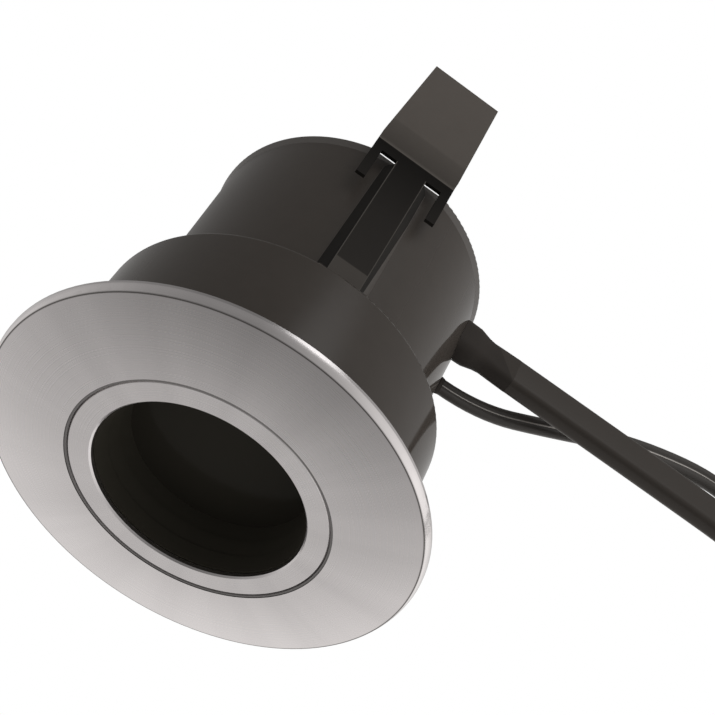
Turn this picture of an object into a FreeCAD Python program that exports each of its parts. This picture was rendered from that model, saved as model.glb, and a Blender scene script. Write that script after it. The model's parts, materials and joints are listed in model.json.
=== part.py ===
import FreeCAD, Part
import math
import os
import re
import Sketcher
from FreeCAD import Placement, Rotation, Vector

# Recessed soffit downlight, millimetres.
# +Z is the light's axis, from the bezel at the bottom to the rear cover on top.
# The bezel's front edge lies on z = 0 and the two board clips stand at -Y and +Y.
# Both cables leave the rear housing on its +X side.

doc = FreeCAD.newDocument("SoffitDownlight")
sheet = doc.addObject("Spreadsheet::Sheet", "Sizes")

sizes = {
    # bezel and lens ring
    "bezel_radius": 44.0,
    "bezel_back": 4.0,
    "bezel_face_radius": 43.3,
    "bezel_dome_rise": 1.85,
    "bezel_dome_radius": 120.0,
    "bezel_edge_radius": 4.0,
    "bezel_edge_width": 0.6,
    "bezel_lip": 2.0,
    "gasket_width": 5.9,
    "gasket_play": 0.3,
    "gasket_thickness": 1.2,
    "ring_outer_radius": 26.2,
    "ring_gap": 0.45,
    "ring_play": 0.3,
    "ring_face_width": 4.8,
    "ring_face": 0.25,
    "ring_plate": 1.2,
    "ring_chamfer": 0.35,
    "ring_skirt_wall": 1.5,
    "ring_skirt_end": 10.0,
    "bayonet_low": 6.0,
    "bayonet_thickness": 1.6,
    "bayonet_reach": 1.2,
    "bayonet_width": 6.0,
    "bayonet_count": 3,
    "bayonet_clearance": 0.3,
    # light engine
    "baffle_front": 1.6,
    "baffle_setback": 0.4,
    "baffle_taper": 2.1,
    "baffle_wall": 1.2,
    "baffle_flange": 1.6,
    "baffle_step_count": 3,
    "baffle_step_depth": 0.35,
    "lens_front": 11.8,
    "lens_thickness": 2.0,
    "lens_gap": 1.5,
    "lens_seal_thickness": 1.0,
    "lens_seal_lap": 2.4,
    "reflector_wall": 1.0,
    "reflector_mouth_radius": 19.0,
    "reflector_throat_radius": 6.6,
    "reflector_gap": 0.2,
    "led_board_front": 25.0,
    "led_board_thickness": 1.6,
    "led_board_radius": 21.4,
    "led_chip_radius": 5.5,
    "led_chip_thickness": 0.6,
    "thermal_pad_radius": 12.0,
    "thermal_pad_thickness": 0.6,
    "board_screw_circle": 15.0,
    "board_screw_radius": 1.1,
    "board_screw_length": 5.0,
    # front housing
    "front_radius": 36.3,
    "nose_wall": 6.5,
    "chamber_radius": 22.0,
    "front_rear_face": 31.6,
    "front_edge_round": 0.8,
    # rear housing
    "rear_radius": 31.0,
    "rear_foot_radius": 30.2,
    "rear_inner_radius": 28.4,
    "rear_floor": 3.0,
    "rear_rim": 75.2,
    "pillar_circle": 24.0,
    "pillar_radius": 2.9,
    "pillar_top_drop": 0.9,
    "base_screw_circle": 17.0,
    "base_screw_radius": 1.4,
    "base_screw_length": 7.0,
    "standoff_circle": 13.0,
    "standoff_radius": 2.6,
    "standoff_height": 6.9,
    "wire_hole_radius": 2.2,
    "wire_hole_circle": 17.5,
    "wire_hole_angle": 30.0,
    "seal_groove_radius": 25.5,
    "seal_groove_width": 2.0,
    "seal_groove_depth": 1.4,
    "seal_clearance": 0.05,
    # rear cover
    "cover_top": 77.1,
    "cover_side_radius": 31.7,
    "cover_edge_round": 0.3,
    "spigot_wall": 2.4,
    "cover_seal_width": 1.1,
    "cover_screw_radius": 1.25,
    "cover_screw_head_radius": 2.8,
    "cover_screw_length": 12.0,
    "screw_clearance": 0.05,
    "screw_head_height": 1.9,
    "screw_head_ratio": 1.9,
    "socket_ratio": 0.95,
    "socket_depth": 1.1,
    # driver
    "driver_board_radius": 19.5,
    "driver_board_thickness": 1.6,
    "driver_screw_radius": 1.2,
    "driver_screw_length": 5.0,
    "transformer_place": -9.5,
    "transformer_length": 14.0,
    "transformer_width": 13.5,
    "transformer_height": 12.4,
    "core_height": 6.0,
    "core_overhang": 1.0,
    "capacitor_radius": 4.9,
    "capacitor_place": -1.5,
    "capacitor_side": 13.4,
    "film_side": 13.9,
    "capacitor_height": 16.0,
    "film_length": 12.0,
    "film_width": 5.0,
    "film_height": 11.0,
    "terminal_place": 6.0,
    "terminal_length": 8.0,
    "terminal_width": 16.0,
    "terminal_height": 10.5,
    "terminal_entry_radius": 1.5,
    # board clips
    "clip_plane": 33.4,
    "clip_sheet": 0.8,
    "strip_width": 7.2,
    "clip_fold": 77.1,
    "plate_length": 18.3,
    "plate_angle": 45.0,
    "plate_root_width": 18.7,
    "plate_tip_width": 15.2,
    "finger_end": 63.0,
    "finger_width": 2.1,
    "slot_top": 73.2,
    "fold_inner_radius": 0.6,
    "pin_height": 33.5,
    "pin_radius": 0.6,
    "pin_clearance": 0.05,
    "pin_head_radius": 1.1,
    "pin_head_thickness": 0.6,
    "washer_thickness": 0.4,
    "washer_radius": 1.2,
    "lug_thickness": 1.2,
    "lug_radius": 1.3,
    "side_clearance": 0.05,
    # tapered rib behind each clip strip
    "rib_foot": 29.3,
    "rib_foot_width": 12.2,
    "rib_top_width": 7.0,
    "rib_gap": 0.15,
    "rib_low": 35.3,
    "rib_high": 73.6,
    # cable outlets
    "supply_offset": -8.0,
    "supply_outlet": 69.5,
    "boot_start": 30.7,
    "boot_length": 13.0,
    "boot_root_height": 9.2,
    "boot_root_width": 5.6,
    "boot_tip_height": 7.4,
    "boot_tip_width": 4.2,
    "shank_reach": 4.0,
    "supply_width": 7.2,
    "supply_thickness": 4.0,
    "lead_outlet": 62.2,
    "lead_shank_height": 4.6,
    "lead_shank_width": 2.5,
    "grommet_start": 31.2,
    "grommet_length": 0.8,
    "grommet_root_height": 4.8,
    "grommet_root_width": 2.7,
    "grommet_tip_height": 4.4,
    "grommet_tip_width": 2.3,
    "lead_width": 4.2,
    "lead_thickness": 2.1,
    "outlet_clearance": 0.05,
    "core_radius": 0.8,
    "core_run": 6.0,
    "signal_core_run": 4.5,
    "signal_core_bow": 3.5,
    "signal_core_side": 0.6,
    "signal_core_gap": 0.5,
    "signal_core_height": 6.0,
    "signal_core_drop": 0.8,
    "wire_radius": 0.6,
    # put-away coils and connectors
    "supply_coil_radius": 36.0,
    "supply_coil_turns": 2.5,
    "lead_coil_radius": 22.0,
    "lead_coil_turns": 2.0,
    "coil_gap": 0.7,
    "plug_length": 16.0,
    "plug_width": 10.0,
    "plug_height": 7.0,
    "plug_nose_length": 6.0,
    "plug_nose_radius": 2.6,
    "plug_round": 1.3,
    "lead_plug_length": 11.0,
    "lead_plug_width": 6.5,
    "lead_plug_height": 5.0,
    "lead_plug_nose_length": 4.0,
    "lead_plug_nose_radius": 1.8,
    "lead_plug_round": 0.8,
}

# sizes that follow from the ones above
derived = {
    "bezel_bore_radius": "ring_outer_radius + ring_gap",
    "front_bore_radius": "ring_outer_radius + ring_play",
    "nose_radius": "front_bore_radius + nose_wall",
    "gasket_inner_radius": "front_radius + gasket_play",
    "gasket_outer_radius": "gasket_inner_radius + gasket_width",
    "ring_opening_radius": "ring_outer_radius - ring_face_width",
    "baffle_mouth_radius": "ring_opening_radius - baffle_setback",
    "baffle_throat_radius": "baffle_mouth_radius - baffle_taper",
    "lens_radius": "front_bore_radius - lens_gap",
    "lens_seal_inner_radius": "lens_radius - lens_seal_lap",
    "spigot_radius": "rear_inner_radius - cover_seal_width - 2 * seal_clearance",
}

cells = list(sizes.items()) + [(name, f"={rule}") for name, rule in derived.items()]
for row, (size_name, size_value) in enumerate(cells, start=1):
    sheet.set(f"A{row}", size_name)
    sheet.set(f"B{row}", str(size_value))
    sheet.setAlias(f"B{row}", size_name)
doc.recompute()


def bound(expression):
    """Write the sheet's name before each size in an expression."""
    def named(match):
        word = match.group(0)
        return f"Sizes.{word}" if word in sizes or word in derived else word
    return re.sub(r"[a-z_]+", named, str(expression))


def value(expression):
    """Work out an expression of sizes as a number."""
    result = sheet.evalExpression(bound(expression))
    return float(getattr(result, "Value", result))


# ---------------------------------------------------------------- sketches


def new_body(label):
    body = doc.addObject("PartDesign::Body", label)
    body.Label = label
    return body


def attach(body, sketch, role, offset=None):
    """Lay a sketch on one of its body's origin planes, raised along the plane's normal."""
    plane = [p for p in body.Origin.OriginFeatures if p.Role == role][0]
    sketch.AttachmentSupport = [(plane, "")]
    sketch.MapMode = "FlatFace"
    if offset is not None:
        sketch.setExpression("AttachmentOffset.Base.z", bound(offset))
    doc.recompute()


def pin_down(sketch, geometry, vertex, across, up):
    """Place one sketch point by expressions."""
    for kind, expression, axis in (("DistanceX", across, -2), ("DistanceY", up, -1)):
        if str(expression) == "0":
            sketch.addConstraint(Sketcher.Constraint("PointOnObject", geometry, vertex, axis))
        else:
            place = Sketcher.Constraint(kind, -1, 1, geometry, vertex, value(expression))
            index = sketch.addConstraint(place)
            sketch.setExpression(f"Constraints[{index}]", bound(expression))


def arc_through(start, end, radius, side):
    """The short arc between two points, bulging left (side 1) or right (side -1) of the way.

    It is drawn anticlockwise, so an arc that bulges left begins at the second point.
    """
    chord = end - start
    half = chord.Length / 2
    bulge = Vector(-chord.y, chord.x, 0).normalize() * side
    centre = (start + end) / 2 - bulge * math.sqrt(max(radius * radius - half * half, 0.0))
    low, high = (end, start) if side > 0 else (start, end)
    low_angle = math.atan2(low.y - centre.y, low.x - centre.x)
    high_angle = math.atan2(high.y - centre.y, high.x - centre.x)
    if high_angle < low_angle:
        high_angle += 2 * math.pi
    circle = Part.Circle(centre, Vector(0, 0, 1), radius)
    return Part.ArcOfCircle(circle, low_angle, high_angle)


def add_outline(sketch, points):
    """Draw a closed outline of (across, up) or (across, up, arc) points.

    arc is {"radius": expression, "side": 1 or -1} for the stretch that leaves the point,
    or {"centre_up": expression, ...} for a half circle.
    """
    first = sketch.GeometryCount
    spots = [Vector(value(p[0]), value(p[1]), 0) for p in points]
    count = len(points)
    for i, point in enumerate(points):
        start = spots[i]
        end = spots[(i + 1) % count]
        if len(point) == 3:
            arc = point[2]
            radius = value(arc["radius"])
            sketch.addGeometry(arc_through(start, end, radius, arc["side"]), False)
        else:
            sketch.addGeometry(Part.LineSegment(start, end), False)
    ends = []
    for point in points:
        flipped = len(point) == 3 and point[2]["side"] > 0
        ends.append((2, 1) if flipped else (1, 2))
    for i, point in enumerate(points):
        following = (i + 1) % count
        joint = Sketcher.Constraint(
            "Coincident", first + i, ends[i][1], first + following, ends[following][0])
        sketch.addConstraint(joint)
        pin_down(sketch, first + i, ends[i][0], point[0], point[1])
    for i, point in enumerate(points):
        if len(point) < 3:
            continue
        arc = point[2]
        if "centre_up" in arc:
            level = Sketcher.Constraint("DistanceY", -1, 1, first + i, 3, value(arc["centre_up"]))
            index = sketch.addConstraint(level)
            sketch.setExpression(f"Constraints[{index}]", bound(arc["centre_up"]))
        else:
            size = Sketcher.Constraint("Radius", first + i, value(arc["radius"]))
            index = sketch.addConstraint(size)
            sketch.setExpression(f"Constraints[{index}]", bound(arc["radius"]))


def outline_sketch(body, name, role, outlines, offset=None):
    sketch = body.newObject("Sketcher::SketchObject", name)
    attach(body, sketch, role, offset)
    for points in outlines:
        add_outline(sketch, points)
    doc.recompute()
    return sketch


def circle_sketch(body, name, role, circles, offset=None):
    """A sketch of circles given as (across, up, radius)."""
    sketch = body.newObject("Sketcher::SketchObject", name)
    attach(body, sketch, role, offset)
    for across, up, radius in circles:
        centre = Vector(value(across), value(up), 0)
        index = sketch.addGeometry(Part.Circle(centre, Vector(0, 0, 1), value(radius)), False)
        pin_down(sketch, index, 3, across, up)
        size = Sketcher.Constraint("Radius", index, value(radius))
        constraint = sketch.addConstraint(size)
        sketch.setExpression(f"Constraints[{constraint}]", bound(radius))
    doc.recompute()
    return sketch


# ---------------------------------------------------------------- features


def feature(body, kind, name, profile, **properties):
    item = body.newObject(kind, name)
    item.Profile = profile
    for key, setting in properties.items():
        setattr(item, key, setting)
    return item


def revolve(body, name, points):
    """Turn an outline of (radius, height) points about the light's axis."""
    sketch = outline_sketch(body, f"{name}_outline", "XZ_Plane", [points])
    turned = feature(body, "PartDesign::Revolution", name, sketch)
    turned.ReferenceAxis = (sketch, ["V_Axis"])
    turned.Angle = 360
    doc.recompute()
    return turned


def groove(body, name, points):
    sketch = outline_sketch(body, f"{name}_outline", "XZ_Plane", [points])
    turned = feature(body, "PartDesign::Groove", name, sketch)
    turned.ReferenceAxis = (sketch, ["V_Axis"])
    turned.Angle = 360
    doc.recompute()
    return turned


def pad(body, name, sketch, length, midplane=False, reverse=False):
    grown = feature(body, "PartDesign::Pad", name, sketch)
    grown.Reversed = reverse
    grown.Midplane = midplane
    grown.setExpression("Length", bound(length))
    doc.recompute()
    return grown


def pocket(body, name, sketch, depth=None, reverse=False, midplane=False):
    """Cut a sketch to a depth, or through everything, and check that it did cut."""
    before = body.Shape.Volume
    cut = feature(body, "PartDesign::Pocket", name, sketch)
    cut.Reversed = reverse
    cut.Midplane = midplane
    if depth is None:
        cut.Type = "ThroughAll"
    else:
        cut.setExpression("Length", bound(depth))
    doc.recompute()
    if cut.Shape.isNull() or not cut.Shape.Volume < before - 1e-6:
        raise RuntimeError(f"{body.Label}: {name} cuts nothing")
    return cut


def around(body, name, item, sketch, count):
    """Repeat a feature about the light's axis."""
    pattern = body.newObject("PartDesign::PolarPattern", name)
    pattern.Originals = [item]
    pattern.Axis = (sketch, ["N_Axis"])
    pattern.Angle = 360
    pattern.setExpression("Occurrences", bound(count))
    body.Tip = pattern
    doc.recompute()
    return pattern


def on_circle(circle, angle, turn=0):
    """Expressions for a point on a circle about the axis."""
    return (f"{circle} * cos(({angle} + {turn}) * 1 deg)",
            f"{circle} * sin(({angle} + {turn}) * 1 deg)")


def ring(label, inner, outer, low, high):
    """A plain ring or washer of rectangular section, as a body."""
    body = new_body(label)
    revolve(body, f"{label}_ring", [(inner, low), (outer, low), (outer, high), (inner, high)])
    return body


def edges_at(shape, across_index, across, up, tolerance=1e-4):
    """Names of the straight edges along one axis that pass a given height and offset."""
    names = []
    for number, edge in enumerate(shape.Edges, start=1):
        ends = [v.Point for v in edge.Vertexes]
        if len(ends) != 2:
            continue
        near = all(abs(p[across_index] - across) < tolerance and abs(p.z - up) < tolerance
                   for p in ends)
        if near:
            names.append(f"Edge{number}")
    return names


def circles_at(shape, radius, height, tolerance=1e-4):
    """Names of the edges that run round the axis at a radius and height."""
    names = []
    for number, edge in enumerate(shape.Edges, start=1):
        if not isinstance(edge.Curve, Part.Circle):
            continue
        centre = edge.Curve.Center
        round_axis = math.hypot(centre.x, centre.y) < tolerance
        if round_axis and abs(edge.Curve.Radius - radius) < tolerance \
                and abs(centre.z - height) < tolerance:
            names.append(f"Edge{number}")
    return names


def soften(body, name, edges, radius, kind="PartDesign::Fillet"):
    if not edges:
        raise RuntimeError(f"{body.Label}: {name} finds no edge")
    base = body.Tip
    rounding = body.newObject(kind, name)
    rounding.Base = (base, edges)
    rounding.setExpression("Radius" if kind.endswith("Fillet") else "Size", bound(radius))
    doc.recompute()
    return rounding


pieces = []


def keep(item):
    pieces.append(item)
    return item


# ---------------------------------------------------------------- bezel and ring


def make_bezel():
    """Shallow domed disc: it widens from the ring's groove to a rounded rim."""
    body = new_body("bezel")
    revolve(body, "bezel_dome", [
        ("bezel_bore_radius", "0",
         {"radius": "bezel_dome_radius", "side": -1}),
        ("bezel_face_radius", "bezel_dome_rise",
         {"radius": "bezel_edge_radius", "side": -1}),
        ("bezel_radius", "bezel_back - bezel_edge_width"),
        ("bezel_radius", "bezel_back"),
        ("nose_radius + seal_clearance", "bezel_back"),
        ("nose_radius + seal_clearance", "bezel_lip"),
        ("bezel_bore_radius", "bezel_lip"),
    ])
    return body


def make_lens_ring():
    """Turned ring whose skirt carries the bayonet lugs."""
    body = new_body("lens_ring")
    skirt_inner = "ring_outer_radius - ring_skirt_wall"
    revolve(body, "ring_section", [
        ("ring_opening_radius + ring_chamfer", "ring_face"),
        ("ring_outer_radius - ring_chamfer", "ring_face"),
        ("ring_outer_radius", "ring_face + ring_chamfer"),
        ("ring_outer_radius", "ring_skirt_end"),
        (skirt_inner, "ring_skirt_end"),
        (skirt_inner, "ring_face + ring_plate"),
        ("ring_opening_radius", "ring_face + ring_plate"),
        ("ring_opening_radius", "ring_face + ring_chamfer"),
    ])
    half = "bayonet_width / 2"
    root = "ring_outer_radius - ring_skirt_wall / 2"
    lug = outline_sketch(body, "bayonet_outline", "XY_Plane", [[
        (root, f"-{half}"),
        ("ring_outer_radius + bayonet_reach", f"-{half}"),
        ("ring_outer_radius + bayonet_reach", half),
        (root, half),
    ]], offset="bayonet_low")
    first = pad(body, "bayonet_lug", lug, "bayonet_thickness")
    around(body, "bayonet_lugs", first, lug, "bayonet_count")
    return body


def make_baffle():
    """Glare baffle: a stepped cone with a rear flange that the ring's skirt holds."""
    body = new_body("baffle")
    steps = int(value("baffle_step_count"))
    depth = "(lens_front - baffle_front)"
    taper = "(baffle_mouth_radius - baffle_throat_radius)"
    inside = []
    for k in range(steps):
        radius = f"baffle_mouth_radius - {taper} * {k} / {steps}"
        low = f"baffle_front + {depth} * {k} / {steps}"
        high = f"baffle_front + {depth} * {k + 1} / {steps}"
        if k:
            inside.append((f"{radius} + baffle_step_depth", low))
        else:
            inside.append((radius, low))
        inside.append((f"baffle_mouth_radius - {taper} * {k + 1} / {steps}", high))
    outside = [
        ("front_bore_radius - 2 * bayonet_clearance", "lens_front"),
        ("front_bore_radius - 2 * bayonet_clearance", "lens_front - baffle_flange"),
        ("baffle_throat_radius + 2 * baffle_wall", "lens_front - baffle_flange"),
        ("baffle_mouth_radius + baffle_wall", "baffle_front"),
    ]
    revolve(body, "baffle_cone", inside + outside)
    return body


# ---------------------------------------------------------------- front housing


def make_front_housing():
    """Die-cast front body: bayonet bore, lamp chamber, heat-spreading rear wall, hinge lugs."""
    body = new_body("front_housing")
    lens_seat = "lens_front + lens_thickness + lens_seal_thickness"
    chamber_end = "led_board_front + led_board_thickness + thermal_pad_thickness"
    revolve(body, "front_shell", [
        ("front_bore_radius", "bezel_lip + seal_clearance"),
        ("nose_radius", "bezel_lip + seal_clearance"),
        ("nose_radius", "bezel_back"),
        ("front_radius", "bezel_back"),
        ("front_radius", "front_rear_face"),
        ("0", "front_rear_face"),
        ("0", chamber_end),
        ("chamber_radius", chamber_end),
        ("chamber_radius", lens_seat),
        ("front_bore_radius", lens_seat),
    ])
    rim = circles_at(body.Shape, value("front_radius"), value("front_rear_face"))
    soften(body, "rear_edge", rim, "front_edge_round")
    reach = "ring_outer_radius + bayonet_reach + bayonet_clearance"
    lug_top = "bayonet_low + bayonet_thickness + bayonet_clearance"
    groove(body, "bayonet_track", [
        ("front_bore_radius - 1", "bayonet_low - bayonet_clearance"),
        (reach, "bayonet_low - bayonet_clearance"),
        (reach, lug_top),
        ("front_bore_radius - 1", lug_top),
    ])
    half = "bayonet_width / 2 + bayonet_clearance"
    entry = outline_sketch(body, "bayonet_entry", "XY_Plane", [[
        (f"-({half})", "front_bore_radius - 1"),
        (half, "front_bore_radius - 1"),
        (half, f"{reach} + bayonet_clearance"),
        (f"-({half})", f"{reach} + bayonet_clearance"),
    ]], offset="bayonet_low")
    slot = pocket(body, "bayonet_slot", entry, "bayonet_low")
    around(body, "bayonet_slots", slot, entry, "bayonet_count")
    # screw and wire holes through the rear wall
    circles = []
    for turn in (0, 120, 240):
        across, up = on_circle("base_screw_circle", 0, turn)
        circles.append((across, up, "base_screw_radius + screw_clearance"))
    across, up = on_circle("wire_hole_circle", "wire_hole_angle")
    circles.append((across, up, "wire_hole_radius"))
    for turn in (90, 270):
        across, up = on_circle("board_screw_circle", 0, turn)
        circles.append((across, up, "board_screw_radius + screw_clearance"))
    holes = circle_sketch(body, "wall_holes", "XY_Plane", circles, offset="front_rear_face")
    pocket(body, "wall_drilling", holes, f"front_rear_face - ({chamber_end})")
    # two pairs of hinge lugs on the rear ledge
    eye = "clip_plane - pin_radius - pin_clearance - clip_sheet / 2"
    inner = "strip_width / 2 + washer_thickness + 2 * side_clearance"
    for sign, side in (("-", "a"), ("", "b")):
        turn = "" if sign else "-"
        lug = outline_sketch(body, f"lug_outline_{side}", "YZ_Plane", [[
            (f"{sign}({eye} + lug_radius)", "front_rear_face - front_edge_round"),
            (f"{sign}({eye} + lug_radius)", "pin_height",
             {"radius": "lug_radius", "side": int(f"{turn}1"), "centre_up": "pin_height"}),
            (f"{sign}({eye} - lug_radius)", "pin_height"),
            (f"{sign}({eye} - lug_radius)", "front_rear_face - front_edge_round"),
        ]])
        pad(body, f"lug_block_{side}", lug, f"2 * ({inner} + lug_thickness)", midplane=True)
        gap = outline_sketch(body, f"lug_gap_outline_{side}", "YZ_Plane", [[
            (f"{sign}({eye} + 2 * lug_radius)", "front_rear_face"),
            (f"{sign}({eye} + 2 * lug_radius)", "pin_height + 2 * lug_radius"),
            (f"{sign}({eye} - 1.5 * lug_radius)", "pin_height + 2 * lug_radius"),
            (f"{sign}({eye} - 1.5 * lug_radius)", "front_rear_face"),
        ]])
        pocket(body, f"lug_gap_{side}", gap, f"2 * ({inner})", midplane=True)
        bore = circle_sketch(body, f"lug_bore_outline_{side}", "YZ_Plane",
                             [(f"{sign}({eye})", "pin_height", "pin_radius")])
        pocket(body, f"lug_bore_{side}", bore, "4 * strip_width", midplane=True)
    return body


# ---------------------------------------------------------------- rear housing


def make_rear_housing():
    """Smaller rear can: floor, cover pillars, standoffs, two clip ribs and two cable outlets."""
    body = new_body("rear_housing")
    inner = "rear_inner_radius"
    floor_top = "front_rear_face + rear_floor"
    revolve(body, "rear_shell", [
        ("0", "front_rear_face"),
        ("rear_foot_radius", "front_rear_face"),
        ("rear_radius", "rear_rim"),
        (inner, "rear_rim"),
        (inner, floor_top),
        ("0", floor_top),
    ])
    groove(body, "seal_groove", [
        ("seal_groove_radius - seal_groove_width / 2", "front_rear_face - 1"),
        ("seal_groove_radius + seal_groove_width / 2", "front_rear_face - 1"),
        ("seal_groove_radius + seal_groove_width / 2", "front_rear_face + seal_groove_depth"),
        ("seal_groove_radius - seal_groove_width / 2", "front_rear_face + seal_groove_depth"),
    ])
    pillar = circle_sketch(
        body, "pillar_outline", "XY_Plane",
        [on_circle("pillar_circle", 60) + ("pillar_radius",)], offset=floor_top)
    first = pad(body, "pillar", pillar, f"rear_rim - pillar_top_drop - ({floor_top})")
    around(body, "pillars", first, pillar, 3)
    drill = circle_sketch(
        body, "pillar_bore_outline", "XY_Plane",
        [on_circle("pillar_circle", 60) + ("cover_screw_radius + screw_clearance",)],
        offset="rear_rim - pillar_top_drop")
    bore = pocket(body, "pillar_bore", drill, "cover_screw_length")
    around(body, "pillar_bores", bore, drill, 3)
    standoff = circle_sketch(
        body, "standoff_outline", "XY_Plane",
        [on_circle("standoff_circle", 60) + ("standoff_radius",)], offset=floor_top)
    first = pad(body, "standoff", standoff, "standoff_height")
    around(body, "standoffs", first, standoff, 3)
    drill = circle_sketch(
        body, "standoff_bore_outline", "XY_Plane",
        [on_circle("standoff_circle", 60) + ("driver_screw_radius + screw_clearance",)],
        offset=f"{floor_top} + standoff_height")
    bore = pocket(body, "standoff_bore", drill, "driver_screw_length")
    around(body, "standoff_bores", bore, drill, 3)
    circles = []
    for turn in (0, 120, 240):
        across, up = on_circle("base_screw_circle", 0, turn)
        circles.append((across, up, "base_screw_radius + 4 * screw_clearance"))
    across, up = on_circle("wire_hole_circle", "wire_hole_angle")
    circles.append((across, up, "wire_hole_radius"))
    holes = circle_sketch(body, "floor_holes", "XY_Plane", circles, offset=floor_top)
    pocket(body, "floor_drilling", holes, "rear_floor")
    # each clip strip folds down on a tapered rib
    rib_top = "(clip_plane - clip_sheet / 2 - rib_gap)"
    for sign, side in (("-", "a"), ("", "b")):
        rib = outline_sketch(body, f"clip_rib_outline_{side}", "XY_Plane", [[
            ("rib_foot_width / 2", f"{sign}(rib_foot)"),
            ("rib_top_width / 2", f"{sign}{rib_top}"),
            ("-rib_top_width / 2", f"{sign}{rib_top}"),
            ("-rib_foot_width / 2", f"{sign}(rib_foot)"),
        ]], offset="rib_low")
        pad(body, f"clip_rib_{side}", rib, "rib_high - rib_low")
    # cable outlets through the +X wall
    play = "2 * outlet_clearance"
    supply = outline_sketch(body, "supply_slot_outline", "YZ_Plane", [bar(
        f"boot_root_height + {play}", f"boot_root_width + {play}",
        "supply_offset", "supply_outlet")])
    pocket(body, "supply_slot", supply, reverse=True)
    lead = outline_sketch(body, "lead_slot_outline", "YZ_Plane", [bar(
        f"lead_shank_height + {play}", f"lead_shank_width + {play}", "0", "lead_outlet")])
    pocket(body, "lead_slot", lead, reverse=True)
    return body


def make_rear_cover():
    """Screwed rear cover with a slightly drawn-in side and a locating spigot."""
    body = new_body("rear_cover")
    revolve(body, "cover_disc", [
        ("0", "rear_rim"),
        ("spigot_radius - spigot_wall", "rear_rim"),
        ("spigot_radius - spigot_wall", "rear_rim - pillar_top_drop"),
        ("spigot_radius", "rear_rim - pillar_top_drop"),
        ("spigot_radius", "rear_rim"),
        ("rear_radius", "rear_rim"),
        ("cover_side_radius", "cover_top"),
        ("0", "cover_top"),
    ])
    edge = circles_at(body.Shape, value("cover_side_radius"), value("cover_top"))
    soften(body, "cover_edge", edge, "cover_edge_round")
    sink = body.newObject("Sketcher::SketchObject", "cover_hole_places")
    attach(body, sink, "XY_Plane", "cover_top")
    across, up = on_circle("pillar_circle", 60)
    spot = sink.addGeometry(
        Part.Circle(Vector(value(across), value(up), 0), Vector(0, 0, 1), 1), False)
    pin_down(sink, spot, 3, across, up)
    size = sink.addConstraint(Sketcher.Constraint("Radius", spot, 1))
    sink.setExpression(f"Constraints[{size}]", bound("cover_screw_radius"))
    doc.recompute()
    hole = body.newObject("PartDesign::Hole", "cover_hole")
    hole.Profile = sink
    hole.ThreadType = "None"
    hole.DepthType = "ThroughAll"
    hole.setExpression("Diameter", bound("2 * (cover_screw_radius + 4 * screw_clearance)"))
    hole.HoleCutType = "Countersink"
    hole.HoleCutCustomValues = True
    hole.setExpression("HoleCutDiameter", bound("2 * (cover_screw_head_radius + screw_clearance)"))
    hole.HoleCutCountersinkAngle = 90
    doc.recompute()
    around(body, "cover_holes", hole, sink, 3)
    return body


# ---------------------------------------------------------------- light engine


def make_lens():
    body = new_body("lens")
    back = "lens_front + lens_thickness"
    revolve(body, "lens_disc", [
        ("0", "lens_front"), ("lens_radius", "lens_front"), ("lens_radius", back), ("0", back)])
    return body


def make_reflector():
    """Curved cup that stands on the lamp board round the light-emitting chip."""
    body = new_body("reflector")
    mouth = "lens_front + lens_thickness + lens_seal_thickness + reflector_gap"
    waist = "(reflector_throat_radius * 0.35 + reflector_mouth_radius * 0.65)"
    middle = f"(led_board_front * 0.55 + ({mouth}) * 0.45)"
    revolve(body, "reflector_cup", [
        ("reflector_throat_radius", "led_board_front"),
        (waist, middle),
        ("reflector_mouth_radius", mouth),
        ("reflector_mouth_radius + 2 * reflector_wall", mouth),
        ("reflector_mouth_radius + 2 * reflector_wall", f"{mouth} + reflector_wall"),
        ("reflector_mouth_radius + reflector_wall", f"{mouth} + reflector_wall"),
        (f"{waist} + reflector_wall", middle),
        ("reflector_throat_radius + reflector_wall", "led_board_front"),
    ])
    return body


def make_led_board():
    body = new_body("led_board")
    back = "led_board_front + led_board_thickness"
    revolve(body, "led_board_disc", [
        ("0", "led_board_front"), ("led_board_radius", "led_board_front"),
        ("led_board_radius", back), ("0", back)])
    circles = []
    for turn in (90, 270):
        across, up = on_circle("board_screw_circle", 0, turn)
        circles.append((across, up, "board_screw_radius + 2 * screw_clearance"))
    holes = circle_sketch(body, "led_board_holes", "XY_Plane", circles, offset=back)
    pocket(body, "led_board_drilling", holes, "led_board_thickness")
    return body


def disc(label, radius, low, high):
    body = new_body(label)
    revolve(body, f"{label}_disc", [("0", low), (radius, low), (radius, high), ("0", high)])
    return body


# ---------------------------------------------------------------- screws


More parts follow.
